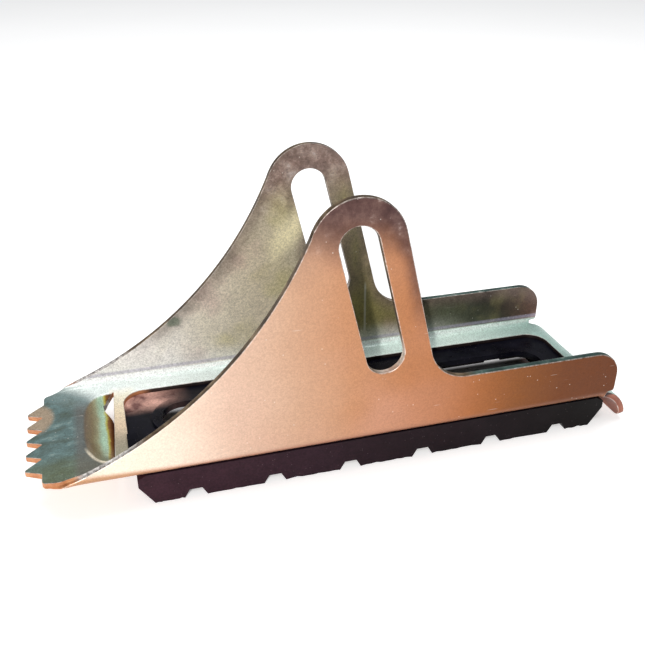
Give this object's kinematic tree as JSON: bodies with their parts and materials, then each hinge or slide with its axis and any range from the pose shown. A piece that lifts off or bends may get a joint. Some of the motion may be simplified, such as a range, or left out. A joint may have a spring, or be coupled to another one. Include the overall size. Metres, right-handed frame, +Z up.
{
  "type": "wheel chock",
  "caption": "Folded steel wheel chock with slotted side wings, a toothed toe, a curled rear claw and a hollow rubber sole pressed up through the floor.",
  "frame": {"origin": "on the ground under the middle of the part: centre of the bounding box in X and Y, underside of the rubber sole in Z", "axes": "+X from the toothed toe back to the claw, +Y across the chock, +Z up; the part stands on its sole"},
  "size_m": [0.2738, 0.076, 0.1258],
  "materials": {
    "zinc_steel": "yellow-passivated zinc plating, satin, with iridescent tints",
    "sole_rubber": "moulded black rubber, semi-gloss on top and dull on the sides"
  },
  "bodies": {
    "root": {"steel_body": "zinc_steel", "rubber_sole": "sole_rubber"}
  },
  "joints": []
}
